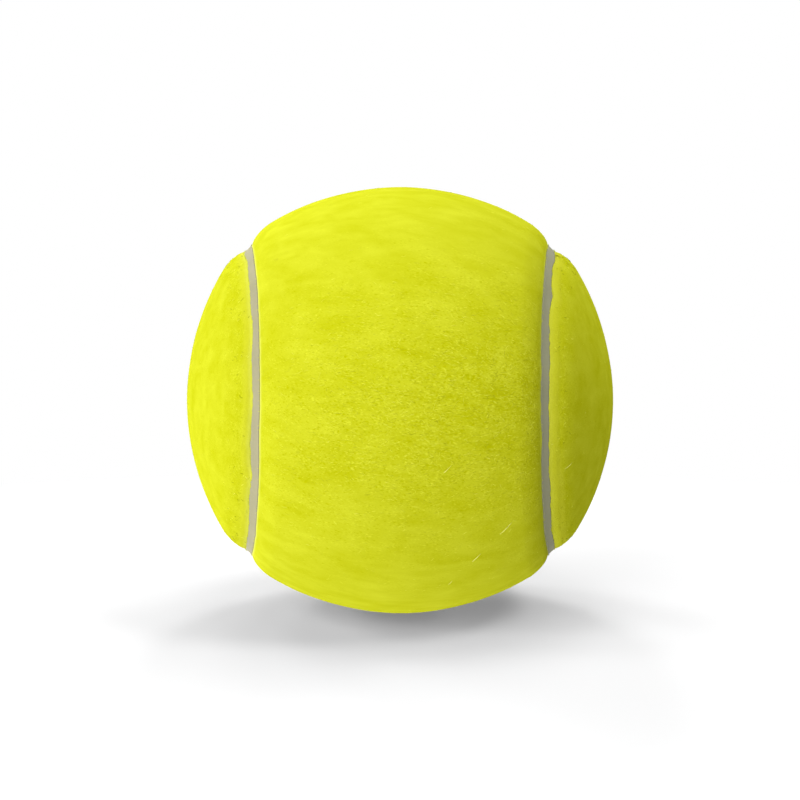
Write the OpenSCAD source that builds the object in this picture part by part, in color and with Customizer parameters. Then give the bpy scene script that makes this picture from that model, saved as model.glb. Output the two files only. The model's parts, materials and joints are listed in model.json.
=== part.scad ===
// Tennis ball: a hollow rubber core of two glued halves, covered by two dog-bone felt panels
// that lock into each other, with a strip of seam rubber between their edges.
// The origin is the ball's centre. The front waist of the seam faces -Y, and +Z is up.
// All lengths are in millimetres.

/* [Ball] */
// Diameter over the middles of the felt panels
ball_d = 66; // [60:0.5:72]

/* [Seam line] */
// Width of a panel's waist along the surface, from seam middle to seam middle
waist_w = 38.5; // [34:0.5:43]
// Bend of the seam half-way between two waists: lower values straighten the sides of the waist
bow_share = -0.053; // [-0.1:0.001:0.1]

/* [Seam strip] */
// Width of the seam strip at its face
seam_w = 1.5; // [1:0.1:2.2]
// Height of the seam strip's face over the panels' middles
seam_rise = 0.18; // [0:0.02:0.3]
// Depth of the hollow along the middle of the seam strip's face
seam_hollow = 0.06; // [0:0.01:0.12]

/* [Felt panels] */
// Thickness of the felt in the middle of a panel
felt_t = 3; // [2.2:0.1:3.8]
// Height of the crest that runs beside the seam, over the panel's middle
crest_rise = 0.95; // [0.5:0.05:1.3]
// Distance along the surface from the seam's middle to the crest
crest_offset = 4.6; // [3.5:0.1:6]
// Height of the felt's cut edge over the edge of the seam strip's face
lip_rise = 0.06; // [0.02:0.01:0.15]

/* [Adhesives] */
// Thickness of the cured adhesive on the back of each panel
backing_t = 0.25; // [0.15:0.01:0.4]
// Thickness of the cement coat on the core
cement_t = 0.12; // [0.08:0.01:0.2]
// Thickness of the bond between the rims of the core's halves
bond_t = 0.2; // [0.1:0.02:0.4]

/* [Core] */
// Wall of the rubber core
core_wall = 3.3; // [2.8:0.1:4]
// Bevel on the inner edge of each half's rim, where the bond squeezes out
rim_bevel = 0.7; // [0.4:0.05:1]
// How far the bond's bead stands into the cavity past the bevels
bead_rise = 0.25; // [0.1:0.05:0.4]

/* [Hidden] */

// Radii, from the outside in
mid_r = ball_d / 2;
backing_r = mid_r - felt_t;
cement_r = backing_r - backing_t;
core_r = cement_r - cement_t;
cavity_r = core_r - core_wall;
// Radii of the rims' flat faces, half a bond away from the middle
rim_outer_r = sqrt(core_r ^ 2 - (bond_t / 2) ^ 2);
rim_inner_r = sqrt(cavity_r ^ 2 - (bond_t / 2) ^ 2);

// Heights over mid_r of the seam strip's edge and of the felt's cut edge
strip_edge_rise = seam_rise + seam_hollow;
felt_edge_rise = strip_edge_rise + lip_rise;

// Smoothness: points round the seam, facets of round solids
seam_steps = 144;
$fn = 144;

// Rings of the felt from its cut edge to the crest, and from there to the panel's spine
lip_shares = [0, 0.06, 0.14, 0.25, 0.4, 0.6, 0.8, 1];
crown_shares = [0.1, 0.23, 0.38, 0.55, 0.75];
// Part of the arc from the front to a panel's tip that the spine takes up
spine_share = 0.76;
// Steepness of the lip's curl, and of the crown's fall towards the middle
curl_share = 2.6;
fall_share = 1.7;
// Crown coordinate at the middle of a panel, as a share of the ball's radius
reach_share = 0.7;
// Points across the seam strip, from edge to edge, as shares of its half width
strip_shares = [-1, -0.5, 0, 0.5, 1];
// Radius of the rough cap and floor of the cutting wedges, which nothing else follows
cap_share = 1.6;
floor_share = 0.9;

// The seam line on the unit sphere is where seam_value is zero. It is below zero on the front
// panel. Turning the ball half a turn about [1, 0, 1] swaps the two panels.
waist_depth = cos(waist_w / ball_d * 180 / PI);
cube_share = (1 - waist_depth ^ 2 - bow_share * waist_depth) / waist_depth ^ 3;

function bow(w) = bow_share * w + cube_share * w ^ 3;
function bow_slope(w) = bow_share + 3 * cube_share * w ^ 2;
function seam_value(p) = p.x ^ 2 - p.z ^ 2 - bow(-p.y);

// Slope of seam_value along the surface at a unit point
function seam_slope(p) =
    let (s = [2 * p.x, bow_slope(-p.y), -2 * p.z])
    s - (s * p) * p;

function unit(v) = v / norm(v);

// Unit point of the seam line at turn t, from 0 to 360; it passes each waist at a quarter turn
function seam_point(t) =
    let (w = waist_depth * cos(2 * t), rest = 1 - w ^ 2)
    [
        sign(cos(t)) * sqrt(max(0, rest + bow(w)) / 2),
        -w,
        sign(sin(t)) * sqrt(max(0, rest - bow(w)) / 2)
    ];

// Unit point at a distance from the seam line, square to it, towards the front panel
function beside_seam(t, distance) =
    let (p = seam_point(t), angle = distance / mid_r * 180 / PI)
    p * cos(angle) - unit(seam_slope(p)) * sin(angle);

// Unit point of the front panel's spine that faces the seam at turn t
function spine_point(t) =
    let (p = seam_point(t), angle = spine_share * atan2(p.z, -p.y))
    [0, -cos(angle), sin(angle)];

// Distance of a unit point from the seam line along the surface. It is true near the seam, and
// levels out smoothly towards the middle of a panel.
function crown_distance(p) =
    let (value = seam_value(p))
    mid_r * abs(value) / sqrt(norm(seam_slope(p)) ^ 2 + (value / reach_share) ^ 2);

// Height of the felt over mid_r at a distance from the seam line
function felt_rise(distance) =
    let (
        edge = seam_w / 2,
        curl = max(0, crest_offset - distance) / (crest_offset - edge),
        fall = (distance - crest_offset) / (reach_share * mid_r - crest_offset)
    )
    distance < crest_offset
        ? crest_rise - (crest_rise - felt_edge_rise) * min(1, curl) ^ curl_share
        : crest_rise * max(0, 1 - fall) ^ fall_share;

function felt_point(p) = p * (mid_r + felt_rise(crown_distance(p)));

// Rings of points on the front panel: beside the seam first, then in from the crest
function turn(i) = 360 * i / seam_steps;
function lip_ring(share) =
    [
        for (i = [0 : seam_steps - 1])
            beside_seam(turn(i), seam_w / 2 + share * (crest_offset - seam_w / 2))
    ];
function crown_ring(share) =
    [
        for (i = [0 : seam_steps - 1])
            unit(
                beside_seam(turn(i), crest_offset) * (1 - share)
                + spine_point(turn(i)) * share
            )
    ];

// Faces between two rings of count points that start at a and b, seen from outside
function band(a, b, count) =
    [
        for (i = [0 : count - 1], half = [0, 1])
            let (next = (i + 1) % count)
            half == 0 ? [a + i, b + i, b + next] : [a + i, b + next, a + next]
    ];

// Index of the spine point that a ring's point i meets: both sides of the panel share it
function spine_index(i) =
    let (quarter = seam_steps / 4, k = (i + quarter) % seam_steps)
    k <= 2 * quarter ? k : seam_steps - k;

// Solid cone from the centre out to rings of points, closed along the panel's spine
module panel_wedge(rings, spine) {
    points = [for (ring = rings) each ring];
    spine_start = len(points);
    centre = spine_start + len(spine);
    last = (len(rings) - 1) * seam_steps;
    polyhedron(
        points = concat(points, spine, [[0, 0, 0]]),
        faces = [
            for (r = [0 : 1 : len(rings) - 2])
                each band(r * seam_steps, (r + 1) * seam_steps, seam_steps),
            for (i = [0 : seam_steps - 1], half = [0, 1])
                let (
                    next = (i + 1) % seam_steps,
                    here = spine_start + spine_index(i),
                    there = spine_start + spine_index(next)
                )
                half == 0 ? [last + i, here, there] : [last + i, there, last + next],
            for (i = [0 : seam_steps - 1])
                [centre, i, (i + 1) % seam_steps]
        ],
        convexity = 8
    );
}

// Turns that meet the spine in order, from the lower tip to the upper one
function spine_turns() = [for (k = [0 : seam_steps / 2]) turn(k) - 90];

module at_rear() {
    rotate(a = 180, v = [1, 0, 1])
        children();
}

// Upper half of the core: its rim is flat, with a bevel on the inner edge
module core_half() {
    rotate_extrude()
        difference() {
            circle(r = core_r);
            circle(r = cavity_r);
            translate([-core_r, -core_r])
                square([core_r, 2 * core_r]);
            translate([-core_r, -core_r])
                square([2 * core_r, core_r + bond_t / 2]);
            translate([rim_inner_r, bond_t / 2])
                rotate(45)
                    square(rim_bevel * sqrt(2), center = true);
        }
}

module core_half_upper() {
    color([0.22, 0.2, 0.19])
        core_half();
}

module core_half_lower() {
    color([0.22, 0.2, 0.19])
        mirror([0, 0, 1])
            core_half();
}

// Bond between the rims, with the bead that was squeezed into the bevels
module core_bond_ring() {
    bead_top = rim_bevel + bond_t / 2;
    color([0.78, 0.72, 0.52])
        rotate_extrude()
            polygon([
                [rim_outer_r, bond_t / 2],
                [rim_inner_r + rim_bevel, bond_t / 2],
                [rim_inner_r, bead_top],
                [rim_inner_r - bead_rise, bond_t / 2],
                [rim_inner_r - bead_rise, -bond_t / 2],
                [rim_inner_r, -bead_top],
                [rim_inner_r + rim_bevel, -bond_t / 2],
                [rim_outer_r, -bond_t / 2]
            ]);
}

module core_cement_coat() {
    color([0.86, 0.8, 0.62])
        difference() {
            sphere(r = cement_r);
            sphere(r = core_r);
        }
}

module panel_backing() {
    cap_r = cap_share * mid_r;
    difference() {
        intersection() {
            sphere(r = backing_r);
            panel_wedge(
                [cap_r * lip_ring(0)],
                [for (t = spine_turns()) cap_r * spine_point(t)]
            );
        }
        sphere(r = cement_r);
    }
}

module panel_backing_front() {
    color([0.9, 0.86, 0.7])
        panel_backing();
}

module panel_backing_rear() {
    color([0.9, 0.86, 0.7])
        at_rear()
            panel_backing();
}

module felt_panel() {
    lip = [for (share = lip_shares) [for (p = lip_ring(share)) felt_point(p)]];
    crown = [for (share = crown_shares) [for (p = crown_ring(share)) felt_point(p)]];
    difference() {
        panel_wedge(
            concat(lip, crown),
            [for (t = spine_turns()) felt_point(spine_point(t))]
        );
        sphere(r = backing_r);
    }
}

module felt_panel_front() {
    color([0.86, 0.9, 0.14])
        felt_panel();
}

module felt_panel_rear() {
    color([0.86, 0.9, 0.14])
        at_rear()
            felt_panel();
}

// Closed strip that fills the gap between the panels, from the cement coat to its hollow face
module seam_strip() {
    face = [
        for (share = strip_shares)
            [
                for (i = [0 : seam_steps - 1])
                    beside_seam(turn(i), share * seam_w / 2)
                    * (mid_r + seam_rise + seam_hollow * share ^ 2)
            ]
    ];
    foot = [
        for (share = [1, -1])
            [
                for (i = [0 : seam_steps - 1])
                    beside_seam(turn(i), share * seam_w / 2) * floor_share * cement_r
            ]
    ];
    rings = concat(face, foot);
    color([0.74, 0.72, 0.62])
        difference() {
            polyhedron(
                points = [for (ring = rings) each ring],
                faces = [
                    for (r = [0 : len(rings) - 1])
                        each band(
                            r * seam_steps,
                            (r + 1) % len(rings) * seam_steps,
                            seam_steps
                        )
                ],
                convexity = 8
            );
            sphere(r = cement_r);
        }
}

core_half_upper();
core_half_lower();
core_bond_ring();
core_cement_coat();
panel_backing_front();
panel_backing_rear();
felt_panel_front();
felt_panel_rear();
seam_strip();
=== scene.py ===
"""A tennis ball on a plain white floor, in soft studio light.

The core, its bond, its cement and the panels' backings are the frame's own solids, and get
their materials here. The two felt panels and the seam strip are modelled here in full: a
napped surface with rolled lips and ragged cut edges, loose hairs, and a moulded rubber strip.
Lengths are millimetres until a mesh or a place is made from them. The floor and the lamps are
in metres.
"""
import itertools
import json
import math

import bpy
import numpy as np
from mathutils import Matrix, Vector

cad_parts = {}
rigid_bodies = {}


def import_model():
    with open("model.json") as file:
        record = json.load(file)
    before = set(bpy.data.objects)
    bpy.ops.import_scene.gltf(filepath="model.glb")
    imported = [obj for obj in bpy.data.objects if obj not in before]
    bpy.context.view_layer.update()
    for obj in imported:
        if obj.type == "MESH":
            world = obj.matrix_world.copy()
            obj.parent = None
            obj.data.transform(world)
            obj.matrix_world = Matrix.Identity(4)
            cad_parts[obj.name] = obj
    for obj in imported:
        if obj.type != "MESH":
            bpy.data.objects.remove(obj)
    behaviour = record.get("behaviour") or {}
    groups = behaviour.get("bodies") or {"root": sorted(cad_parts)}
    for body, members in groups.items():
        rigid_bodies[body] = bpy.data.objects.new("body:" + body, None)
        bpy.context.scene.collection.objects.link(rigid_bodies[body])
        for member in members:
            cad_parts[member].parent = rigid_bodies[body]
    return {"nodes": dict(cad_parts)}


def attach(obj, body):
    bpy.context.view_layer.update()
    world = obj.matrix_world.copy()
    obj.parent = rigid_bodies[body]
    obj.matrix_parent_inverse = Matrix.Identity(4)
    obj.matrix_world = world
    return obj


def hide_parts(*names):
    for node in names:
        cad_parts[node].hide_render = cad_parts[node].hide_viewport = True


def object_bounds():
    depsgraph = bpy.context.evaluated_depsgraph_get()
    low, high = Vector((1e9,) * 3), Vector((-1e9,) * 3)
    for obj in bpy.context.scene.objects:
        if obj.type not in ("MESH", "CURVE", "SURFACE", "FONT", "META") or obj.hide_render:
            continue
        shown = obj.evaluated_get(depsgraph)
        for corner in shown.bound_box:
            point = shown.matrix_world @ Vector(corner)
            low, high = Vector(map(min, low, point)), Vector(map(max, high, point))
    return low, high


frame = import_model()
cad_low, cad_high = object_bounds()

MM = 0.001

# The two panels, and the two hands of the picture
FRONT = 1
REAR = -1
LEFT = -1
RIGHT = 1

# Ball: the frame gives its size, and the rest repeats the source's sizes
BALL_R = (cad_high.z - cad_low.z) / 2 / MM
WAIST_W = 38.5
BOW_SHARE = -0.053
SEAM_W = 1.5
SEAM_RISE = 0.18
SEAM_HOLLOW = 0.06
LIP_RISE = 0.06
FELT_T = 3.0
BACKING_T = 0.25
CREST_RISE = 0.95
CREST_OFFSET = 4.6
CURL_SHARE = 2.6
FALL_SHARE = 1.7
REACH_SHARE = 0.7
SPINE_SHARE = 0.76

BACKING_R = BALL_R - FELT_T
CEMENT_R = BACKING_R - BACKING_T
WAIST_DEPTH = math.cos(WAIST_W / (2 * BALL_R))
CUBE_SHARE = (1 - WAIST_DEPTH**2 - BOW_SHARE * WAIST_DEPTH) / WAIST_DEPTH**3
SEAM_LENGTH = 342

# Meshes: points round the seam, and rows of points, which crowd towards the felt's lip
FELT_TURNS = 1300
LIP_ROWS = 24
LIP_CROWDING = 1.5
CROWN_ROWS = 43
WALL_ROWS = 3
LINING_ROWS = 3
STRIP_TURNS = 1600
STRIP_ROWS = 13

# Seeds of the noises, and of the hairs' own places and sizes
EDGE_SEED = {FRONT: 40, REAR: 60}
NAP_SEED = {FRONT: 100, REAR: 200}
STRIP_SEED = 300
RAISED_SEED = {FRONT: 400, REAR: 500}
GROOVE_SEED = 600
KNOT_SEED = 700
HAIR_SEED = {FRONT: 7, REAR: 8}

# Noise: cells before it repeats, and the factor that brings it to about -1 to 1
NOISE_CELLS = 256
NOISE_GAIN = 1.6

# Nap that stands up most: the patch's middle on a panel, its reach along each axis and how far it
# stands up
NAP_MIDDLE = (10, -33, -1.5)
NAP_REACH = (27, 30, 15.5)
NAP_MOST = 0.87
# How far the nap stands up everywhere, and beside the seam, with the distance and reach of that
NAP_LEAST = {FRONT: 0.07, REAR: 0.22}
NAP_BESIDE = {FRONT: 0, REAR: 0.4}
BESIDE_OFFSET = 1.5
BESIDE_REACH = 3
# Chance patches of raised nap: their size and strength, and the least that stands up anywhere
PATCH_SIZE = 9
PATCH_SHARE = 0.1
NAP_LOWEST = 0.06

# Nap's relief: sizes, heights and squeeze along each axis of its lumps and clumps, how far and
# how finely the clumps are warped, and their share of height where the nap lies flat
LUMPS = ((7.0, 3.4), (0.04, 0.022), (0.6, 1, 1))
CLUMPS = ((1.5, 0.8, 0.45), (0.012, 0.005, 0.005), (0.38, 1, 1))
WARP = 0.5
WARP_SIZE = 2.6
FLAT_CLUMPS = 0.25

# Felt's lip: how far the nap hangs over the strip, radius of its rounded edge, how deep and how
# wide its edge is pressed, where the nap begins and is full, and how far the strip goes under it
LAP_LOBE = 0.26
LAP_WAIST = 0.15
EDGE_ROUND = 0.22
LIP_DIP = 0.09
DIP_REACH = 0.7
NAP_START = (0.2, 1.6)
TUCK = 0.05
# Pressed band along a lobe's edge: its width, its rise and the groove behind it
BAND_W = 1.45
BAND_RISE = 0.03
GROOVE = 0.05
GROOVE_W = 0.25
GROOVE_PATCH = 1.7

# How far the cut edge wanders, and the size and share of each of its noises along the seam
RAGGED_LOBE = 0.27
RAGGED_WAIST = 0.08
WANDER = ((4.0, 0.6), (1.4, 0.4))
THREADS = ((0.7, 0.35), (0.4, 0.2))
NOTCH_SIZE = 2.4
NOTCH_SPAN = (0.12, 0.3)
NOTCH_MEAN = 0.3
NOTCH_SHARE = 0.7
# Depth over which the bends in view give way to chance, and how much of the wander they replace
VIEW_DEPTH = 7
VIEW_SHARE = 0.7
# Bends of the cut edges in view: panel, hand, height, how far the edge gives way, and reach
EDGE_BENDS = (
    (REAR, RIGHT, 20.3, 0.35, 1.1),
    (REAR, RIGHT, 14.0, 0.36, 1.5),
    (REAR, RIGHT, 11.0, -0.08, 1.0),
    (REAR, RIGHT, 4.6, 0.16, 4.0),
    (REAR, RIGHT, 0.0, 0.13, 25.0),
    (REAR, RIGHT, -0.8, -0.16, 0.7),
    (REAR, RIGHT, -3.1, 0.1, 1.2),
    (REAR, RIGHT, -6.1, -0.09, 0.9),
    (REAR, RIGHT, -7.6, 0.11, 1.2),
    (REAR, RIGHT, -9.2, -0.1, 0.8),
    (REAR, RIGHT, -12.4, 0.1, 1.5),
    (REAR, RIGHT, -15.0, -0.09, 1.0),
    (REAR, RIGHT, -18.1, -0.16, 0.9),
    (REAR, RIGHT, -21.0, 0.1, 1.0),
    (REAR, LEFT, 21.8, 0.34, 1.2),
    (REAR, LEFT, 18.6, -0.06, 0.7),
    (REAR, LEFT, 17.1, 0.12, 0.7),
    (REAR, LEFT, 9.7, -0.2, 1.6),
    (REAR, LEFT, 7.7, -0.2, 1.1),
    (REAR, LEFT, 0.4, -0.23, 0.9),
    (REAR, LEFT, -0.9, -0.1, 0.6),
    (REAR, LEFT, -4.9, 0.22, 2.6),
    (REAR, LEFT, -5.8, 0.08, 0.6),
    (REAR, LEFT, -8.4, 0.08, 0.8),
    (REAR, LEFT, -9.8, -0.12, 0.7),
    (REAR, LEFT, -12.8, 0.21, 1.5),
    (REAR, LEFT, -18.9, -0.12, 1.2),
    (FRONT, RIGHT, 20.2, 0.12, 1.2),
    (FRONT, RIGHT, 3.6, -0.14, 1.2),
    (FRONT, RIGHT, 0.0, -0.06, 25.0),
    (FRONT, RIGHT, -0.8, -0.1, 0.6),
    (FRONT, RIGHT, -4.9, -0.2, 1.5),
    (FRONT, RIGHT, -17.6, 0.13, 2.0),
    (FRONT, LEFT, 14.6, 0.06, 1.2),
    (FRONT, LEFT, 0.0, 0.04, 25.0),
    (FRONT, LEFT, -4.2, -0.08, 2.2),
    (FRONT, LEFT, -17.9, 0.15, 0.9),
    (FRONT, LEFT, -20.4, 0.1, 1.0),
)

# Loose hairs on each panel: short ones in the nap, long ones, the fringe of the cut edge, and
# knots of lint in groups near the lobes' edges
DARK_HAIRS = 2520
LIGHT_HAIRS = 1680
LONG_HAIRS = 25
FRINGE_HAIRS = 1500
KNOTS = 900
# Each kind's least and most length, radius, lift and tone, which is 0 when dark and 1 when pale,
# and how far it bends and waves to either side, as shares of its length; a stray has a length and
# a radius of its own
HAIR_KINDS = {
    "dark": ((0.3, 0.8), (0.024, 0.042), (0.0, 0.02), (0, 0.25), 0.25, 0.08),
    "light": ((0.3, 0.8), (0.02, 0.044), (0.0, 0.045), (0.5, 0.85), 0.3, 0.08),
    "long": ((1.2, 2.4), (0.02, 0.032), (0.03, 0.1), (0.3, 0.75), 0.3, 0.08),
    "fringe": ((0.16, 0.34), (0.012, 0.024), (0.0, 0.02), (0.4, 0.8), 0.3, 0.05),
    "dark_knot": ((0.2, 0.6), (0.045, 0.075), (0.0, 0.05), (0, 0.2), 0.3, 0.1),
    "light_knot": ((0.15, 0.5), (0.045, 0.075), (0.02, 0.07), (0.6, 0.87), 0.3, 0.1),
    "stray": ((1, 1), (1, 1), (0.05, 0.07), (1, 1), 0.02, 0.01),
}
# Way that each panel's nap is brushed, across the front's waist and along the rear's, and its
# short hairs' share of the full length
BRUSHED = {FRONT: ((1, 0, 0), 1), REAR: ((0, 0, 1), 0.55)}
# How far each kind turns from the brushed way, or the fringe from its way over the edge, in
# radians
HAIR_SPREAD = {
    "dark": 0.45,
    "light": 0.45,
    "long": 0.9,
    "fringe": 0.6,
    "dark_knot": 0.4,
    "light_knot": 0.7,
}
BRUSH_JITTER = 0.15
# Fringe: how far in it is rooted. Knots: how far in they lie, and the size of their groups
FRINGE_INSET = 0.12
KNOT_SPAN = (0.3, 3.4)
KNOT_GROUP = 2.5
# Hair's mesh: its rings, how deep it is rooted, and how much thinner it is at its tip
HAIR_RINGS = 4
HAIR_ROOT = 0.03
HAIR_TAPER = 0.65

# Pale stray hairs: panel, both ends' places on the face (x, z and x, z), and radius
STRAYS = (
    (FRONT, 12.65, -16.92, 14.11, -15.14, 0.08),
    (FRONT, 9.385, -20.96, 10.435, -19.57, 0.085),
    (FRONT, 6.51, -24.74, 6.98, -23.96, 0.06),
    (FRONT, 5.31, -8.86, 6.31, -7.81, 0.055),
    (REAR, 20.97, -8.76, 21.98, -7.88, 0.06),
)

# Strip's grain, and how far its edges dip
STRIP_GRAIN = ((1.6, 0.5), (0.012, 0.006))
STRIP_DIP = 0.02


# Noise that is the same in every run

def lattice(seed):
    """Random unit vectors and an order of them, for one kind of noise."""
    rng = np.random.default_rng(seed)
    vectors = rng.normal(size=(NOISE_CELLS, 3))
    vectors /= np.linalg.norm(vectors, axis=1, keepdims=True)
    return vectors, np.tile(rng.permutation(NOISE_CELLS), 3)


def noise(points, seed):
    """Gradient noise, about -1 to 1, with features about one unit across."""
    vectors, order = lattice(seed)
    cell = np.floor(points).astype(int)
    inside = points - cell
    fade = inside**3 * (inside * (inside * 6 - 15) + 10)
    total = np.zeros(len(points))
    for corner in itertools.product((0, 1), repeat=3):
        i, j, k = ((cell + corner) % NOISE_CELLS).T
        slope = vectors[order[order[order[i] + j] + k]]
        weight = np.prod(np.where(corner, fade, 1 - fade), axis=1)
        total += weight * np.sum(slope * (inside - corner), axis=1)
    return total * NOISE_GAIN


def layered_noise(points, sizes, weights, seed):
    """A sum of noises; sizes are the features' sizes in the points' unit."""
    return sum(w * noise(points / s, seed + n) for n, (s, w) in enumerate(zip(sizes, weights)))


def round_seam(t, size, seed):
    """Noise along the seam that closes on itself; size is in millimetres of seam."""
    loop_r = SEAM_LENGTH / (2 * math.pi) / size
    return noise(np.stack([loop_r * np.cos(t), loop_r * np.sin(t), np.full_like(t, 0.5)], -1), seed)


def layered_round_seam(t, layers, seed):
    return sum(share * round_seam(t, size, seed + n) for n, (size, share) in enumerate(layers))


# Seam line and panel profile, as the source has them, for arrays of unit points

def unit(v):
    return v / np.linalg.norm(v, axis=-1, keepdims=True)


def bow(w):
    return BOW_SHARE * w + CUBE_SHARE * w**3


def seam_value(p):
    return p[..., 0] ** 2 - p[..., 2] ** 2 - bow(-p[..., 1])


def seam_slope(p):
    s = np.stack([2 * p[..., 0], BOW_SHARE + 3 * CUBE_SHARE * p[..., 1] ** 2, -2 * p[..., 2]], -1)
    return s - np.sum(s * p, -1, keepdims=True) * p


def seam_point(t):
    w = WAIST_DEPTH * np.cos(2 * t)
    rest = 1 - w**2
    x = np.sign(np.cos(t)) * np.sqrt(np.maximum(0, rest + bow(w)) / 2)
    z = np.sign(np.sin(t)) * np.sqrt(np.maximum(0, rest - bow(w)) / 2)
    return np.stack([x, -w, z], -1)


def beside_seam(t, distance):
    """Unit points at a distance from the seam line, towards the front panel."""
    p = seam_point(t)
    angle = np.asarray(distance)[..., None] / BALL_R
    return p * np.cos(angle) - unit(seam_slope(p)) * np.sin(angle)


def spine_point(t):
    p = seam_point(t)
    angle = SPINE_SHARE * np.arctan2(p[:, 2], -p[:, 1])
    return np.stack([np.zeros_like(angle), -np.cos(angle), np.sin(angle)], -1)


def crown_distance(p):
    value = seam_value(p)
    steep = np.linalg.norm(seam_slope(p), axis=-1)
    return BALL_R * np.abs(value) / np.sqrt(steep**2 + (value / REACH_SHARE) ** 2)


def felt_rise(distance):
    edge = SEAM_W / 2
    edge_rise = SEAM_RISE + SEAM_HOLLOW + LIP_RISE
    curl = np.clip((CREST_OFFSET - distance) / (CREST_OFFSET - edge), 0, 1)
    fall = np.clip((distance - CREST_OFFSET) / (REACH_SHARE * BALL_R - CREST_OFFSET), 0, 1)
    lip = CREST_RISE - (CREST_RISE - edge_rise) * curl**CURL_SHARE
    crown = CREST_RISE * (1 - fall) ** FALL_SHARE
    return np.where(distance < CREST_OFFSET, lip, crown)


# Felt

def smooth(value, low, high):
    x = np.clip((value - low) / (high - low), 0, 1)
    return x * x * (3 - 2 * x)


def lobe_share(t):
    """1 along a panel's lobes, 0 along its waist."""
    return smooth(np.sin(t) ** 2, 0.4, 0.6)


def cut_edge(t, side):
    """Distance from the seam's middle to a panel's cut edge, at turns of that panel's own seam."""
    seed = EDGE_SEED[side]
    wander = layered_round_seam(t, WANDER, seed)
    notch = smooth(round_seam(t, NOTCH_SIZE, seed + 2), *NOTCH_SPAN) - NOTCH_MEAN
    threads = layered_round_seam(t, THREADS, seed + 3)
    lobe = lobe_share(t)
    lap = LAP_WAIST + (LAP_LOBE - LAP_WAIST) * lobe
    ragged = RAGGED_WAIST + (RAGGED_LOBE - RAGGED_WAIST) * lobe
    # Where the photograph shows the edge, its own bends take the place of the chance ones
    x, y, z = at_side(seam_point(t), side).T * BALL_R
    shown = smooth(-y, 0, VIEW_DEPTH)
    bends = sum(
        offset * np.exp(-(((z - height) / reach) ** 2)) * (np.sign(x) == hand)
        for panel, hand, height, offset, reach in EDGE_BENDS
        if panel == side
    )
    chance = ragged * ((wander + NOTCH_SHARE * notch) * (1 - VIEW_SHARE * shown) + threads)
    return SEAM_W / 2 - lap + chance + shown * bends


def raised(p, side):
    """How far the nap stands up at unit points: most on the waist, and on the rear at its edges."""
    apart = np.linalg.norm((p * BALL_R - NAP_MIDDLE) / NAP_REACH, axis=-1)
    patches = noise(p * BALL_R / PATCH_SIZE, RAISED_SEED[side])
    beside = np.exp(-(((crown_distance(p) - BESIDE_OFFSET) / BESIDE_REACH) ** 2))
    most = NAP_MOST * np.exp(-(apart**2))
    up = NAP_LEAST[side] + NAP_BESIDE[side] * beside + most + PATCH_SHARE * patches
    return np.clip(up, NAP_LOWEST, 1)


def nap(p, side):
    """Height of the nap's clumps over the smooth felt, at unit points of that panel."""
    seed = NAP_SEED[side]
    flat = p * BALL_R
    # Lumps and clumps lie across the panel, so they are longer along x than along the others
    sizes, heights, squeeze = LUMPS
    lumps = layered_noise(flat * squeeze, sizes, heights, seed)
    warp = np.stack([noise(flat / WARP_SIZE, seed + 10 + n) for n in range(3)], -1)
    sizes, heights, squeeze = CLUMPS
    clumps = layered_noise((flat + WARP * warp) * squeeze, sizes, heights, seed + 3)
    return lumps + clumps * (FLAT_CLUMPS + (1 - FLAT_CLUMPS) * raised(p, side))


def felt_surface(p, side, edge_gap, lobe):
    """Points on a panel's face at unit points p; edge_gap is the distance in from the cut edge."""
    rounding = np.clip(1 - edge_gap / EDGE_ROUND, 0, 1)
    dip = LIP_DIP * np.exp(-((edge_gap / DIP_REACH) ** 2))
    drop = EDGE_ROUND * (1 - np.sqrt(1 - rounding**2)) + dip
    settle = smooth(edge_gap, *NAP_START)
    band = BAND_RISE * np.clip(1 - (edge_gap / BAND_W - 0.5) ** 2 * 4, 0, 1)
    worn = 0.5 + 0.5 * noise(p * BALL_R / GROOVE_PATCH, GROOVE_SEED)
    groove = GROOVE * worn * np.exp(-(((edge_gap - BAND_W) / GROOVE_W) ** 2))
    r = BALL_R + felt_rise(crown_distance(p)) - drop + settle * nap(p, side) + lobe * (band - groove)
    return p * r[..., None]


def mesh_object(name, points, faces):
    mesh = bpy.data.meshes.new(name)
    mesh.from_pydata((points * MM).tolist(), [], faces)
    mesh.validate()
    mesh.shade_smooth()
    piece = bpy.data.objects.new(name, mesh)
    bpy.context.scene.collection.objects.link(piece)
    return piece


def store(piece, name, values):
    """One number for each of a piece's points, for its material to read."""
    piece.data.attributes.new(name, "FLOAT", "POINT").data.foreach_set("value", values)


def bands(rows, count):
    """Quads between rows of point numbers that close on themselves."""
    faces = []
    for low, high in zip(rows, rows[1:]):
        for i in range(count):
            n = (i + 1) % count
            faces.append((low[i], high[i], high[n], low[n]))
    return faces


def at_side(points, side):
    """The rear panel is the front one, turned half a turn about [1, 0, 1]."""
    if side == FRONT:
        return points
    return np.stack([points[:, 2], -points[:, 1], points[:, 0]], -1)


def on_ground(points):
    """The points, pressed flat where the ball rests on the floor."""
    return np.maximum(points, [-np.inf, -np.inf, -BALL_R])


def slerp(a, b, share):
    angle = np.arccos(np.clip(np.sum(a * b, -1, keepdims=True), -1, 1))
    return (a * np.sin((1 - share) * angle) + b * np.sin(share * angle)) / np.sin(angle)


def shares(count):
    """Even steps between 0 and 1, without either end."""
    return np.linspace(0, 1, count + 1)[1:-1]


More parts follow.
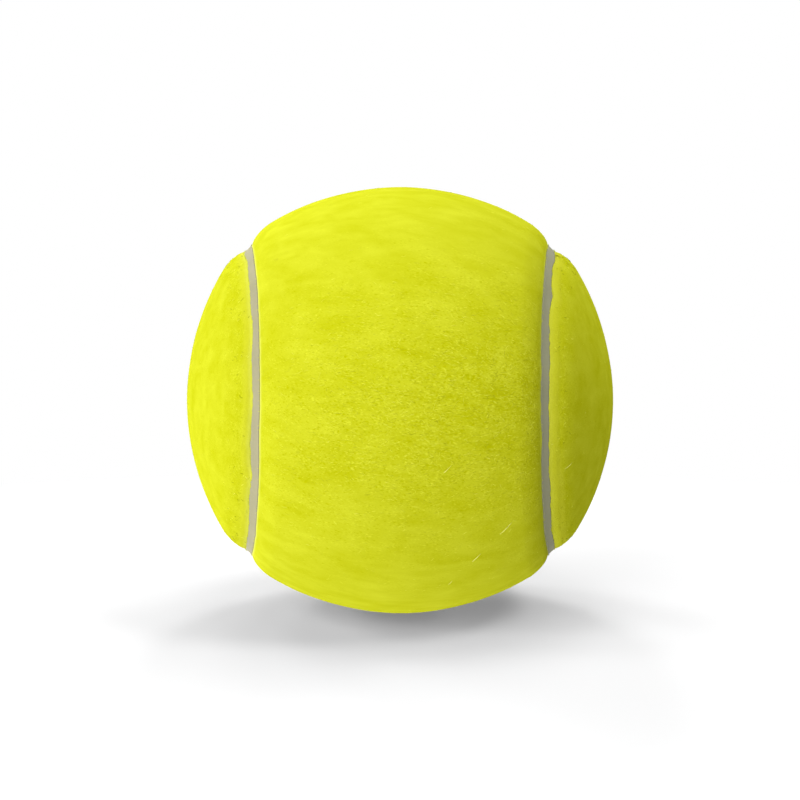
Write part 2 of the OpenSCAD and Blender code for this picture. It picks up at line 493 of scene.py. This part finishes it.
def panel_rows(t, side, lobe):
    """Rows of a panel's points, each row's distance in from the cut edge, and the spine's."""
    start = beside_seam(t, cut_edge(t, side))
    spine = spine_point(t)
    arc = np.arccos(np.clip(np.sum(start * spine, -1), -1, 1)) * BALL_R
    # Lining against the backing, from the middle out, then the cut edge
    outward = np.linspace(1, 0, LINING_ROWS + 1)[1:]
    points = [slerp(start, spine, share) * BACKING_R for share in outward]
    foot = start * BACKING_R
    lip = felt_surface(start, side, np.zeros_like(t), lobe)
    points += [foot + (lip - foot) * share for share in shares(WALL_ROWS)]
    gaps = [np.zeros_like(t)] * len(points)
    # Face, from the lip to the spine
    near = CREST_OFFSET * np.linspace(0, 1, LIP_ROWS + 1) ** LIP_CROWDING
    far = [near[-1] + (arc - near[-1]) * share for share in shares(CROWN_ROWS)]
    for gap in [*near, *far]:
        gap = np.broadcast_to(gap, t.shape)
        points.append(felt_surface(slerp(start, spine, (gap / arc)[:, None]), side, gap, lobe))
        gaps.append(gap)
    return points, gaps, arc


def store_felt(piece, own, side, gap, lobe):
    """What the felt's material reads: nap that stands up, the pressed band, and the pale cut edge,
    partly painted highlight.
    """
    x, _, z = at_side(own, side).T
    store(piece, "raised", raised(unit(own), side))
    # The band is widest low on the right
    width = BAND_W + 0.8 * smooth(-z, 4, 12) * smooth(x, 0, 10)
    store(piece, "band", (1 - smooth(gap, width - 0.5, width + 0.2)) * lobe)
    # Painted highlight: the pale cut edge is made palest on the left, where the light falls, and along
    # the waist
    pale = 0.35 + 0.65 * (1 - smooth(x, -12, 4))
    store(piece, "rim", (1 - smooth(gap, 0.2, 0.8)) * pale * (0.7 - 0.4 * lobe))


def felt_panel(name, side):
    t = 2 * math.pi * np.arange(FELT_TURNS) / FELT_TURNS
    lobe = lobe_share(t)
    points, gaps, arc = panel_rows(t, side, lobe)
    rows = np.arange(len(points) * FELT_TURNS).reshape(-1, FELT_TURNS)
    faces = bands(rows, FELT_TURNS)
    lobes = np.tile(lobe, len(rows))

    # Both halves of the panel share the points of its spine, on the face and on the lining
    half = FELT_TURNS // 2
    quarter = FELT_TURNS // 4
    order = (np.arange(FELT_TURNS) + quarter) % FELT_TURNS
    on_face = rows.size + np.where(order <= half, order, FELT_TURNS - order)
    on_lining = on_face + half + 1
    line = spine_point(t[(np.arange(half + 1) - quarter) % FELT_TURNS])
    middle = np.full(half + 1, arc.min())
    points += [felt_surface(line, side, middle, 0), line * BACKING_R]
    gaps += [middle, middle]
    for row, inner, flip in ((rows[-1], on_face, False), (rows[0], on_lining, True)):
        for i in range(FELT_TURNS):
            n = (i + 1) % FELT_TURNS
            face = [row[i], inner[i], inner[n], row[n]]
            # At the spine's ends two corners are one point
            faces.append(tuple(dict.fromkeys(reversed(face) if flip else face)))

    own = np.concatenate(points)
    piece = mesh_object(name, on_ground(at_side(own, side)), faces)
    store_felt(piece, own, side, np.concatenate(gaps), np.append(lobes, np.zeros(2 * (half + 1))))
    return piece


# Loose hairs

def hair_centres(hairs, side):
    """Middles of the hairs' rings: each hair rises from its root and sinks again to its tip."""
    roots = hairs["root"]
    ways = hairs["way"]
    lengths = hairs["length"]
    across = np.cross(roots, ways)
    centres = []
    for share in np.linspace(0, 1, HAIR_RINGS + 1):
        aside = lengths * (hairs["bend"] * share**2 + hairs["wave"] * math.sin(2 * math.pi * share))
        q = unit(roots + (ways * (lengths * share)[:, None] + across * aside[:, None]) / BALL_R)
        ground = BALL_R + felt_rise(crown_distance(q)) + nap(q, side)
        rise = (HAIR_ROOT + hairs["lift"]) * math.sin(0.75 * math.pi * share**0.8) - HAIR_ROOT
        centres.append(q * (ground + rise)[:, None])
    return centres


def hair_mesh(name, hairs, side):
    """Thin tapered strands over the panel's face, from the arrays that describe them."""
    centres = hair_centres(hairs, side)
    points = []
    for ring in range(HAIR_RINGS):
        way = unit(centres[ring + 1] - centres[ring])
        wide = unit(np.cross(way, centres[ring]))
        up = np.cross(wide, way)
        r = hairs["radius"] * (1 - HAIR_TAPER * ring / HAIR_RINGS)
        for n in range(3):
            a = 2 * math.pi * n / 3
            points.append(centres[ring] + (wide * math.cos(a) + up * math.sin(a)) * r[:, None])
    points.append(centres[-1])

    # Each point set holds one ring's corner for all the hairs, and the last one their tips
    count = len(centres[0])
    each = np.arange(count)

    def corner(ring, n):
        return (3 * ring + n % 3) * count + each

    faces = np.stack([corner(0, 2), corner(0, 1), corner(0, 0)], -1).tolist()
    last = HAIR_RINGS - 1
    for n in range(3):
        for ring in range(last):
            square = corner(ring, n), corner(ring, n + 1), corner(ring + 1, n + 1), corner(ring + 1, n)
            faces += np.stack(square, -1).tolist()
        faces += np.stack([corner(last, n), corner(last, n + 1), corner(HAIR_RINGS, 0)], -1).tolist()
    piece = mesh_object(name, on_ground(at_side(np.concatenate(points), side)), faces)
    store(piece, "tone", np.tile(hairs["tone"], len(points)))
    return piece


def scattered(count, side, rng, edge_gap):
    """Unit points over a panel, closest together where the nap stands up, and clear of the seam."""
    found = np.zeros((0, 3))
    while len(found) < count:
        p = unit(rng.normal(size=(4 * count, 3)))
        p = p[(seam_value(p) < 0) & (crown_distance(p) > edge_gap)]
        p = p[rng.uniform(size=len(p)) < raised(p, side) ** 2]
        found = np.concatenate([found, p])
    return found[:count]


def tangent(p, way):
    return unit(way - np.sum(way * p, -1, keepdims=True) * p)


def turned(p, way, angle):
    """Tangents at unit points, turned about them."""
    return way * np.cos(angle)[:, None] + np.cross(p, way) * np.sin(angle)[:, None]


def lying_ways(p, rng, axis, spread):
    """Tangents at unit points that lie along an axis, give or take the spread."""
    along = tangent(p, np.array(axis) + BRUSH_JITTER * rng.normal(size=p.shape))
    return turned(p, along, rng.normal(0, spread, len(p)) + math.pi * rng.integers(0, 2, len(p)))


def fringe_hairs(side, rng):
    """Places and ways of the hairs that hang over the cut edge, most of them along the lobes."""
    t = rng.uniform(0, 2 * math.pi, FRINGE_HAIRS)
    t = t[rng.uniform(size=len(t)) < 0.25 + 0.75 * lobe_share(t)]
    edge = cut_edge(t, side)
    roots = beside_seam(t, edge + FRINGE_INSET)
    towards = unit(beside_seam(t, edge) - roots)
    return roots, turned(roots, towards, rng.normal(0, HAIR_SPREAD["fringe"], len(t)))


def knot_places(side, rng):
    t = rng.uniform(0, 2 * math.pi, KNOTS)
    t = t[lobe_share(t) > 0.5]
    knots = beside_seam(t, cut_edge(t, side) + rng.uniform(*KNOT_SPAN, len(t)))
    return knots[noise(knots * BALL_R / KNOT_GROUP, KNOT_SEED) > 0]


def hair_kind(rng, kind, root, way, length_share=1):
    """Hairs of one kind, each with its own sizes and tone from the kind's ranges."""
    length, radius, lift, tone, bend, wave = HAIR_KINDS[kind]
    ranges = {
        "length": np.multiply(length, length_share),
        "radius": radius,
        "lift": lift,
        "tone": tone,
        "bend": (-bend, bend),
        "wave": (-wave, wave),
    }
    hairs = {"root": root, "way": way}
    for key, (least, most) in ranges.items():
        hairs[key] = rng.uniform(least, most, len(root))
    return hairs


def stray_hairs(side, rng):
    """The few pale hairs that stand out on the front, placed one by one."""
    x, z, tip_x, tip_z, radius = np.array([hair[1:] for hair in STRAYS if hair[0] == side]).T

    def on_face(x, z):
        return at_side(unit(np.stack([x, -np.sqrt(BALL_R**2 - x**2 - z**2), z], -1)), side)

    root = on_face(x, z)
    tip = on_face(tip_x, tip_z)
    hairs = hair_kind(rng, "stray", root, tangent(root, tip))
    hairs["length"] = np.linalg.norm(tip - root, axis=-1) * BALL_R
    hairs["radius"] = radius
    return hairs


def felt_hairs(name, side):
    rng = np.random.default_rng(HAIR_SEED[side])
    axis, length_share = BRUSHED[side]
    dark, light = np.split(scattered(DARK_HAIRS + LIGHT_HAIRS, side, rng, SEAM_W), [DARK_HAIRS])
    long = scattered(LONG_HAIRS, side, rng, 2 * SEAM_W)
    fringe, fringe_ways = fringe_hairs(side, rng)
    knots = knot_places(side, rng)
    dark_knots, light_knots = np.split(knots, [len(knots) // 2])

    def lying(kind, root, share=1):
        return hair_kind(rng, kind, root, lying_ways(root, rng, axis, HAIR_SPREAD[kind]), share)

    kinds = [
        lying("dark", dark, length_share),
        lying("light", light, length_share),
        lying("long", long),
        hair_kind(rng, "fringe", fringe, fringe_ways),
        lying("dark_knot", dark_knots),
        lying("light_knot", light_knots),
        stray_hairs(side, rng),
    ]
    # Where the nap lies flat, its dark hairs are as light as the felt
    kinds[0]["tone"] = np.maximum(kinds[0]["tone"], 0.48 - 0.42 * raised(dark, side))
    hairs = {key: np.concatenate([kind[key] for kind in kinds]) for key in kinds[0]}
    return hair_mesh(name, hairs, side)


# Seam strip

def seam_strip(name):
    t = 2 * math.pi * np.arange(STRIP_TURNS) / STRIP_TURNS
    to_front = cut_edge(t, FRONT) + TUCK
    to_rear = -cut_edge(math.pi / 2 - t, REAR) - TUCK
    points = []
    for share in np.linspace(1, -1, STRIP_ROWS):
        p = beside_seam(t, abs(share) * (to_front if share > 0 else to_rear))
        rise = SEAM_RISE + SEAM_HOLLOW * share**2 + layered_noise(p * BALL_R, *STRIP_GRAIN, STRIP_SEED)
        if abs(share) == 1:
            rise = rise - STRIP_DIP
        points.append(p * (BALL_R + rise)[:, None])
    # Down one side to the cement, and up the other
    sides = (to_rear, BACKING_R), (to_rear, CEMENT_R), (to_front, CEMENT_R), (to_front, BACKING_R)
    for edge, r in sides:
        points.append(beside_seam(t, edge) * r)
    rows = np.arange(len(points) * STRIP_TURNS).reshape(-1, STRIP_TURNS)
    return mesh_object(name, np.concatenate(points), bands([*rows, rows[0]], STRIP_TURNS))


# Materials

# Linear colours
FELT_DARK = (0.53, 0.55, 0.0, 1)
FELT_LIGHT = (0.725, 0.755, 0.038, 1)
FELT_BAND = (0.66, 0.665, 0.034, 1)
# Pale cut edge of fibres, partly painted highlight
FELT_RIM_HIGHLIGHT = (0.84, 0.86, 0.17, 1)
FELT_SHEEN = (0.9, 1.0, 0.05, 1)
HAIR_DARK = (0.32, 0.34, 0.0, 1)
HAIR_BRIGHT = (0.86, 0.9, 0.09, 1)
HAIR_PALE = (0.96, 0.98, 0.22, 1)
SEAM_LOW = (0.38, 0.355, 0.215)
SEAM_HIGH = (0.45, 0.42, 0.26)
# Painted shade of the seam strip, darker and greener towards the right
SEAM_RIGHT_SHADE = (0.9, 0.96, 0.97)
CORE_LOW = (0.018, 0.016, 0.015)
CORE_HIGH = (0.04, 0.036, 0.033)
CEMENT_LOW = (0.5, 0.42, 0.22)
CEMENT_HIGH = (0.66, 0.58, 0.36)
CURED_LOW = (0.6, 0.54, 0.38)
CURED_HIGH = (0.76, 0.7, 0.52)

# Felt's grain: how many features of each kind there are to a millimetre, across their length
TUFTS = 1.3
STRANDS = 3.4
FIBRES = 7.5
BROAD = 0.4
RUFFLES = 0.6
# How far each kind moves the shade between dark and light, and how far nap that stands up darkens it
# as painted shade
FLECK_SHADE = 1.8
STRAND_SHADE = 0.13
TUFT_SHADE = 0.14
BROAD_SHADE = 0.26
RAISED_PAINTED_SHADE = -0.2
# Depth of the grain in the surface
NAP_BUMP = 0.28

# Panels: name, side, squeeze and tilt of the grain, its shift in the noise, and the felt's middle
# shade between dark and light
PANELS = (
    ("front", FRONT, (0.4, 1, 1), -11, (0, 0, 0), 0.555),
    ("rear", REAR, (0.9, 1, 0.9), 0, (31, 17, 5), 0.5),
)


class Nodes:
    """Short calls to build one material's nodes."""

    def __init__(self, name):
        self.material = bpy.data.materials.new(name)
        self.material.use_nodes = True
        self.tree = self.material.node_tree
        self.shader = self.tree.nodes["Principled BSDF"]

    def add(self, kind, inputs=None, **settings):
        node = self.tree.nodes.new("ShaderNode" + kind)
        for key, value in settings.items():
            setattr(node, key, value)
        for key, value in (inputs or {}).items():
            self.put(node.inputs[key], value)
        return node

    def put(self, socket, value):
        if isinstance(value, bpy.types.NodeSocket):
            self.tree.links.new(value, socket)
        else:
            socket.default_value = value

    def attribute(self, name):
        return self.add("Attribute", attribute_name=name).outputs["Fac"]

    def place(self, scale, shift=(0, 0, 0), tilt=0):
        """Object coordinates in millimetres, tilted about y, scaled and shifted."""
        coordinates = self.add("TexCoord").outputs["Object"]
        if tilt:
            turn = (0, math.radians(tilt), 0)
            coordinates = self.add("Mapping", {"Vector": coordinates, "Rotation": turn}).outputs[0]
        scaled = tuple(s / MM for s in scale)
        inputs = {"Vector": coordinates, "Scale": scaled, "Location": shift}
        return self.add("Mapping", inputs).outputs[0]

    def grain(self, vector, detail=2.0, roughness=0.5, distortion=0.0):
        inputs = {
            "Vector": vector,
            "Scale": 1.0,
            "Detail": detail,
            "Roughness": roughness,
            "Distortion": distortion,
        }
        return self.add("TexNoise", inputs).outputs["Fac"]

    def span(self, value, low, high, to_low=0.0, to_high=1.0):
        inputs = {
            "Value": value,
            "From Min": low,
            "From Max": high,
            "To Min": to_low,
            "To Max": to_high,
        }
        return self.add("MapRange", inputs).outputs[0]

    def spread(self, grain, to_low=0.0, to_high=1.0):
        """Brings a grain's usual values to a range."""
        return self.span(grain, 0.3, 0.7, to_low, to_high)

    def sum(self, *values):
        total = values[0]
        for value in values[1:]:
            total = self.add("Math", {0: total, 1: value}, operation="ADD").outputs[0]
        return total

    def times(self, a, b):
        return self.add("Math", {0: a, 1: b}, operation="MULTIPLY").outputs[0]

    def blend(self, share, low, high):
        node = self.add("Mix", data_type="RGBA")
        self.put(node.inputs[0], share)
        self.put(node.inputs[6], low)
        self.put(node.inputs[7], high)
        return node.outputs[2]

    def bump(self, height, distance):
        node = self.add("Bump", {"Height": height, "Distance": distance * MM, "Strength": 1.0})
        self.tree.links.new(node.outputs[0], self.shader.inputs["Normal"])

    def set(self, **inputs):
        for key, value in inputs.items():
            self.put(self.shader.inputs[key.replace("_", " ")], value)


def felt_material(name, squeeze, tilt, shift, middle):
    """Brushed yellow nap, whose fibres lie along the axis that is squeezed most."""
    m = Nodes(name)

    def lying(density, distortion, detail=2):
        place = m.place([density * s for s in squeeze], shift, tilt)
        return m.grain(place, detail=detail, roughness=0.6, distortion=distortion)

    tufts = lying(TUFTS, 0.5)
    strands = lying(STRANDS, 0.6)
    fibres = lying(FIBRES, 0.5, 0)
    broad = lying(BROAD, 0.3)
    ruffled = m.span(lying(RUFFLES, 0.3, 1), 0.38, 0.62, 0.6, 1.4)
    up = m.times(m.attribute("raised"), ruffled)
    # Light and dark flecks, with plain nap between them
    fine = m.sum(
        m.span(fibres, 0.65, 0.86, 0, FLECK_SHADE),
        m.span(fibres, 0.14, 0.35, -FLECK_SHADE, 0),
        m.spread(strands, -STRAND_SHADE, STRAND_SHADE),
        m.spread(tufts, -TUFT_SHADE, TUFT_SHADE),
    )
    # Painted shade: where the nap stands up, the felt is painted darker for the shade its fibres cast
    # on one another
    painted_fibre_shade = m.times(m.attribute("raised"), RAISED_PAINTED_SHADE)
    patches = m.span(broad, 0.25, 0.75, middle - BROAD_SHADE, middle + BROAD_SHADE)
    shade = m.sum(m.times(fine, up), patches, painted_fibre_shade)
    colour = m.blend(shade, FELT_DARK, FELT_LIGHT)
    colour = m.blend(m.times(m.attribute("band"), 0.6), colour, FELT_BAND)
    # Pale fibres at the cut edge, partly painted highlight
    colour = m.blend(m.attribute("rim"), colour, FELT_RIM_HIGHLIGHT)
    m.set(Base_Color=colour, Roughness=m.spread(strands, 0.88, 1.0), Specular_IOR_Level=0.0)
    m.set(Sheen_Weight=0.04, Sheen_Roughness=0.5, Sheen_Tint=FELT_SHEEN)
    height = m.sum(m.times(tufts, 0.25), m.times(strands, 0.22), m.times(fibres, 0.2))
    m.bump(m.times(height, m.span(up, 0, 1, 0.3, 1)), NAP_BUMP)
    return m.material


def hair_material(name, shift):
    """Loose fibres, from olive through yellow to pale, and uneven along their length."""
    m = Nodes(name)
    patch = m.grain(m.place((2.0, 2.0, 2.0), shift))
    tone = m.sum(m.attribute("tone"), m.spread(patch, -0.08, 0.08))
    colour = m.blend(m.span(tone, 0, 0.5), HAIR_DARK, FELT_LIGHT)
    colour = m.blend(m.span(tone, 0.5, 0.8), colour, HAIR_BRIGHT)
    colour = m.blend(m.span(tone, 0.88, 0.92), colour, HAIR_PALE)
    m.set(Base_Color=colour, Roughness=m.spread(patch, 0.7, 0.9), Specular_IOR_Level=0.0)
    m.bump(patch, 0.01)
    return m.material


def rubber_material(name, low, high, grain_size, depth, right_shade=None):
    """Matt rubber, mottled from a low to a high colour; painted shade makes it darker and greener
    towards the right.
    """
    m = Nodes(name)
    broad = m.grain(m.place((0.25, 0.25, 0.25)), detail=3)
    fine = m.grain(m.place([1 / grain_size] * 3), detail=3, roughness=0.6)
    share = m.sum(m.times(m.spread(broad), 0.6), m.times(m.spread(fine), 0.4))
    colour = m.blend(share, (*low, 1), (*high, 1))
    if right_shade:
        # Painted shade: darker and greener towards the right
        x = m.add("SeparateXYZ", {0: m.place((1, 1, 1))}).outputs[0]
        shaded_low, shaded_high = [(*np.multiply(c, right_shade), 1) for c in (low, high)]
        shaded = m.blend(share, shaded_low, shaded_high)
        colour = m.blend(m.span(x, -15, 15), colour, shaded)
    m.set(Base_Color=colour, Roughness=m.spread(fine, 0.62, 0.82), Specular_IOR_Level=0.25)
    m.bump(fine, depth)
    return m.material


# Stage

# Floor: its side, how far from the ball it begins to fade into the backdrop and is white, and
# its grey for light that leaves it and for the camera
FLOOR_SIDE = 6
FLOOR_FADE = (0.1, 0.25)
FLOOR_LIT = (0.8, 0.8, 0.8, 1)
FLOOR_SEEN = (0.92, 0.92, 0.92, 1)

LAMP_DISTANCE = 0.7
# Name, turn from the right towards the back, angle from straight up and half angle, in degrees,
# and how brightly the lamp lights a white surface that faces it
LAMPS = (
    ("front_left", 231, 68, 24, 0.524),
    ("below_back", 104, 130, 25, 0.421),
    ("below_front", 238, 130, 25, 0.376),
    ("back_left", 141, 80, 6, 0.316),
    ("below", 189, 158, 25, 0.289),
    ("back_right", 39, 80, 6, 0.236),
    ("front_right", 324, 41, 8, 0.213),
    ("top", 15, 24, 20, 0.205),
    ("back_high", 90, 40, 6, 0.175),
    ("left_low", 206, 68, 6, 0.105),
    ("left_high", 195, 55, 6, 0.09),
    ("front_high", 262, 12, 10, 0.101),
    ("back_left_high", 135, 55, 6, 0.09),
    ("back_top", 120, 40, 6, 0.058),
    ("left_top", 202, 25, 6, 0.036),
)
AMBIENT = 0.229

# The photograph: picture side and focal length in pixels, and the camera's distance
PICTURE_PX = 800
FOCAL_PX = 825
CAMERA_DISTANCE = 4 * BALL_R
SENSOR = 36


def floor_and_backdrop():
    bpy.ops.mesh.primitive_plane_add(size=FLOOR_SIDE, location=(0, 0, -BALL_R * MM))
    floor = bpy.context.object
    floor.name = "floor"
    m = Nodes("floor_paint")
    tree = m.tree
    camera_ray = m.add("LightPath").outputs["Is Camera Ray"]
    paint = m.add("BsdfDiffuse", {"Color": m.blend(camera_ray, FLOOR_LIT, FLOOR_SEEN)})
    glow = m.add("Emission", {"Strength": 1.0})
    place = m.add("TexCoord").outputs["Object"]
    # Far from the ball the floor runs into the white backdrop
    reach = m.add("VectorMath", {0: place}, operation="LENGTH").outputs["Value"]
    near, white = FLOOR_FADE
    fade = {"Value": reach, "From Min": near, "From Max": white}
    far = m.add("MapRange", fade, interpolation_type="SMOOTHSTEP").outputs[0]
    share = m.times(far, camera_ray)
    mix = m.add("MixShader", {0: share, 1: paint.outputs[0], 2: glow.outputs[0]})
    tree.links.new(mix.outputs[0], tree.nodes["Material Output"].inputs["Surface"])
    tree.nodes.remove(m.shader)
    floor.data.materials.append(m.material)
    # The lamps below the floor's level fill the ball's underside
    floor.visible_diffuse = False
    floor.visible_shadow = False


def world_light(strength):
    world = bpy.data.worlds.new("studio")
    bpy.context.scene.world = world
    world.use_nodes = True
    nodes = world.node_tree.nodes
    links = world.node_tree.links
    background = nodes["Background"]
    path = nodes.new("ShaderNodeLightPath")
    pick = nodes.new("ShaderNodeMapRange")
    links.new(path.outputs["Is Camera Ray"], pick.inputs["Value"])
    pick.inputs["To Min"].default_value = strength
    pick.inputs["To Max"].default_value = 1.0
    background.inputs["Color"].default_value = (1, 1, 1, 1)
    links.new(pick.outputs[0], background.inputs["Strength"])


def soft_lamp(name, turn, from_top, half_angle, share):
    a = math.radians(turn)
    z = math.radians(from_top)
    spread = math.radians(half_angle)
    towards = np.array([math.sin(z) * math.cos(a), math.sin(z) * math.sin(a), math.cos(z)])
    light = bpy.data.lights.new(name, "AREA")
    light.shape = "DISK"
    light.size = 2 * LAMP_DISTANCE * math.tan(spread)
    light.energy = share * (math.pi * LAMP_DISTANCE / math.cos(spread)) ** 2
    # Without this, light would reach the floor through pieces that its bounced rays pass by
    light.cycles.use_multiple_importance_sampling = False
    lamp = bpy.data.objects.new(name, light)
    bpy.context.scene.collection.objects.link(lamp)
    lamp.location = towards * LAMP_DISTANCE
    lamp.rotation_euler = (0, z, a)


def make_camera():
    camera = bpy.data.objects.new("camera", bpy.data.cameras.new("camera"))
    bpy.context.scene.collection.objects.link(camera)
    camera.location = (0, -CAMERA_DISTANCE * MM, 0)
    camera.rotation_euler = (math.pi / 2, 0, 0)
    camera.data.sensor_width = SENSOR
    camera.data.lens = FOCAL_PX / PICTURE_PX * SENSOR
    # The ball's face is nearer than the usual limit of 0.1 m
    camera.data.clip_start = 0.01
    camera.data.clip_end = 100
    bpy.context.scene.camera = camera


# Pieces

def dress_core():
    """Materials of the frame's own solids, which stay inside the felt."""
    core = rubber_material("core_rubber", CORE_LOW, CORE_HIGH, grain_size=0.4, depth=0.03)
    cement = rubber_material("rubber_cement", CEMENT_LOW, CEMENT_HIGH, grain_size=0.9, depth=0.05)
    cured = rubber_material("cured_adhesive", CURED_LOW, CURED_HIGH, grain_size=0.7, depth=0.05)
    finishes = {
        "core_half_upper": core,
        "core_half_lower": core,
        "core_bond_ring": cement,
        "core_cement_coat": cement,
        "panel_backing_front": cured,
        "panel_backing_rear": cured,
    }
    for node, material in finishes.items():
        piece = frame["nodes"][node]
        piece.data.materials.clear()
        piece.data.materials.append(material)


def dress_felt():
    for panel, side, squeeze, tilt, shift, middle in PANELS:
        name = "felt_" + panel
        piece = felt_panel(name, side)
        piece.data.materials.append(felt_material(name, squeeze, tilt, shift, middle))
        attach(piece, "root")
        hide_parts("felt_panel_" + panel)
        hairs = felt_hairs(name + "_hairs", side)
        hairs.data.materials.append(hair_material(name + "_hairs", shift))
        # Fibres this fine are too thin for shadows of their own
        hairs.visible_shadow = False
        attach(hairs, "root")


def dress_seam():
    piece = seam_strip("seam_rubber")
    # Painted shade darkens and greens the strip towards the right
    rubber = rubber_material(
        "seam_rubber", SEAM_LOW, SEAM_HIGH, grain_size=0.35, depth=0.03, right_shade=SEAM_RIGHT_SHADE
    )
    piece.data.materials.append(rubber)
    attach(piece, "root")
    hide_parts("seam_strip")


make_camera()
dress_core()
dress_felt()
dress_seam()
# The floor's shade stays neutral, as in the photograph
for piece in bpy.data.objects:
    if piece.type == "MESH":
        piece.visible_diffuse = False
floor_and_backdrop()
world_light(AMBIENT)
for lamp in LAMPS:
    soft_lamp(*lamp)
bpy.context.scene.view_settings.view_transform = "Standard"
